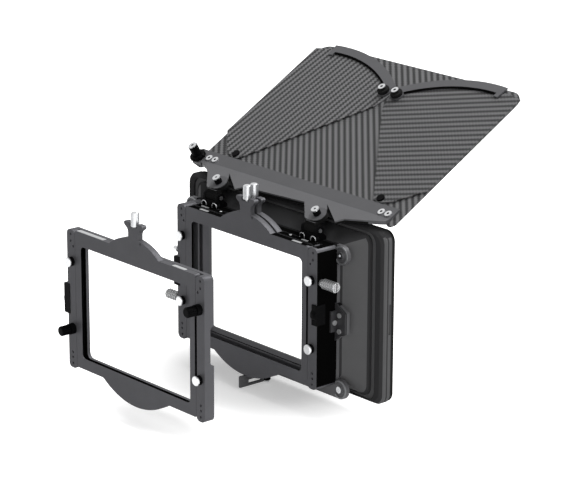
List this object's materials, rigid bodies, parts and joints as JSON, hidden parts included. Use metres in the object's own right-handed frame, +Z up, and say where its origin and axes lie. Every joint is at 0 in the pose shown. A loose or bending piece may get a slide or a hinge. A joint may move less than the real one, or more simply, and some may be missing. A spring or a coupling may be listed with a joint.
{
  "type": "matte box",
  "caption": "Studio matte box: flared shade and filter module with lift-out trays, a docking filter stage, and a tilting top flag with swing-out wings.",
  "frame": {"origin": "centre of the module's rear window, on its rear face, where the camera side begins", "axes": "+X right as the camera operator sees it, +Y forward to the scene along the lens axis, +Z up"},
  "size_m": [0.2495, 0.313, 0.2389],
  "materials": {
    "anodised": "dark anodised, fine matte",
    "bracket": "dark grey anodised, satin",
    "black_metal": "black, satin",
    "steel": "bright turned",
    "moulded": "black moulded, fine grain",
    "rubber": "black, matte",
    "carbon": "carbon twill under matte lacquer"
  },
  "bodies": {
    "module": {"module_frame": "anodised", "front_flange": "black_metal", "flange_screws": "steel", "ear_rings": "steel", "side_brackets": "black_metal", "side_bracket_screws": "steel", "hood": "moulded", "hood_lip": "rubber", "hinge_blocks": "black_metal", "hinge_pins": "steel", "hinge_block_screws": "steel", "module_studs": "black_metal", "module_stud_caps": "steel", "module_catch": "black_metal", "module_latch": "black_metal", "foot_arm": "anodised", "foot_stud": "steel"},
    "module_pull_pin": {"module_pull_pin": "steel"},
    "side_screw_right": {"side_screw_right": "steel"},
    "side_screw_left": {"side_screw_left": "steel"},
    "foot_knob": {"foot_knob": "black_metal"},
    "rear_tray": {"rear_tray": "anodised"},
    "rear_tray_knob": {"rear_tray_knob": "steel"},
    "front_tray": {"front_tray": "anodised"},
    "front_tray_knob": {"front_tray_knob": "steel"},
    "stage": {"stage_frame": "anodised", "stage_studs": "black_metal", "stage_stud_caps": "steel", "stage_bushes": "black_metal", "stage_latch": "black_metal"},
    "stage_pull_pin": {"stage_pull_pin": "steel"},
    "stage_knob_upper": {"stage_knob_upper": "black_metal"},
    "stage_knob_lower": {"stage_knob_lower": "black_metal"},
    "stage_tray": {"stage_tray": "anodised"},
    "stage_tray_knob": {"stage_tray_knob": "steel"},
    "flag": {"flag_bracket": "bracket", "flag_plate": "carbon", "flag_screws": "steel", "hinge_caps": "black_metal", "hinge_cap_rings": "steel", "wing_pivots": "black_metal", "arc_guides": "bracket", "side_post": "black_metal", "side_post_ring": "steel", "side_post_collar": "black_metal"},
    "arc_knob_left": {"arc_knob_left": "steel"},
    "arc_knob_right": {"arc_knob_right": "steel"},
    "wing_left": {"wing_left": "carbon"},
    "wing_right": {"wing_right": "carbon"},
    "side_post_wheel": {"side_post_wheel": "black_metal"}
  },
  "joints": [
    {"name": "module_pull_pin_slide", "type": "slide", "parent": "module", "child": "module_pull_pin", "axis": [-1, 0, 0], "range_m": [0, 0.003], "stiffness_N_per_m": 400, "springref_m": -0.002},
    {"name": "side_screw_right_turn", "type": "hinge", "parent": "module", "child": "side_screw_right", "pos_m": [0.09, 0.0042, 0.0302], "axis": [1, 0, 0], "continuous": true},
    {"name": "side_screw_left_turn", "type": "hinge", "parent": "module", "child": "side_screw_left", "pos_m": [-0.09, 0.0042, -0.0247], "axis": [-1, 0, 0], "continuous": true},
    {"name": "foot_knob_turn", "type": "hinge", "parent": "module", "child": "foot_knob", "pos_m": [-0.0032, 0.0252, -0.0745], "axis": [0, 0, 1], "continuous": true},
    {"name": "rear_tray_slide", "type": "slide", "parent": "module", "child": "rear_tray", "axis": [0, 0, 1], "range_m": [0, 0.1]},
    {"name": "rear_tray_knob_turn", "type": "hinge", "parent": "rear_tray", "child": "rear_tray_knob", "pos_m": [0, 0.00215, 0.08], "axis": [0, 0, 1], "continuous": true},
    {"name": "front_tray_slide", "type": "slide", "parent": "module", "child": "front_tray", "axis": [0, 0, 1], "range_m": [0, 0.1]},
    {"name": "front_tray_knob_turn", "type": "hinge", "parent": "front_tray", "child": "front_tray_knob", "pos_m": [0, 0.00925, 0.08], "axis": [0, 0, 1], "continuous": true},
    {"name": "stage_dock", "type": "slide", "parent": "module", "child": "stage", "axis": [0, 1, 0], "range_m": [0, 0.1014]},
    {"name": "stage_pull_pin_slide", "type": "slide", "parent": "stage", "child": "stage_pull_pin", "axis": [-1, 0, 0], "range_m": [0, 0.003], "stiffness_N_per_m": 400, "springref_m": -0.002},
    {"name": "stage_knob_upper_turn", "type": "hinge", "parent": "stage", "child": "stage_knob_upper", "pos_m": [0.0794, -0.1192, 0.0315], "axis": [0, -1, 0], "continuous": true},
    {"name": "stage_knob_lower_turn", "type": "hinge", "parent": "stage", "child": "stage_knob_lower", "pos_m": [-0.0794, -0.1192, -0.0241], "axis": [0, -1, 0], "continuous": true},
    {"name": "stage_tray_slide", "type": "slide", "parent": "stage", "child": "stage_tray", "axis": [0, 0, 1], "range_m": [0, 0.1]},
    {"name": "stage_tray_knob_turn", "type": "hinge", "parent": "stage_tray", "child": "stage_tray_knob", "pos_m": [0, -0.10905, 0.08], "axis": [0, 0, 1], "continuous": true},
    {"name": "flag_tilt", "type": "hinge", "parent": "module", "child": "flag", "pos_m": [0, 0.0175, 0.0655], "axis": [1, 0, 0], "range_deg": [-6, 28]},
    {"name": "wing_left_swing", "type": "hinge", "parent": "flag", "child": "wing_left", "pos_m": [-0.0877, 0.06424, 0.08651], "axis": [0, -0.497, 0.8678], "range_deg": [0, 24]},
    {"name": "wing_right_swing", "type": "hinge", "parent": "flag", "child": "wing_right", "pos_m": [0.0877, 0.06424, 0.08651], "axis": [0, 0.497, -0.8678], "range_deg": [0, 24]},
    {"name": "arc_knob_left_turn", "type": "hinge", "parent": "flag", "child": "arc_knob_left", "pos_m": [-0.0078, 0.15348, 0.14338], "axis": [0, -0.497, 0.8678], "continuous": true},
    {"name": "arc_knob_right_turn", "type": "hinge", "parent": "flag", "child": "arc_knob_right", "pos_m": [0.0078, 0.15348, 0.14338], "axis": [0, -0.497, 0.8678], "continuous": true},
    {"name": "side_post_wheel_turn", "type": "hinge", "parent": "flag", "child": "side_post_wheel", "pos_m": [-0.121, 0.049, 0.08354], "axis": [0, -0.497, 0.8678], "continuous": true}
  ]
}
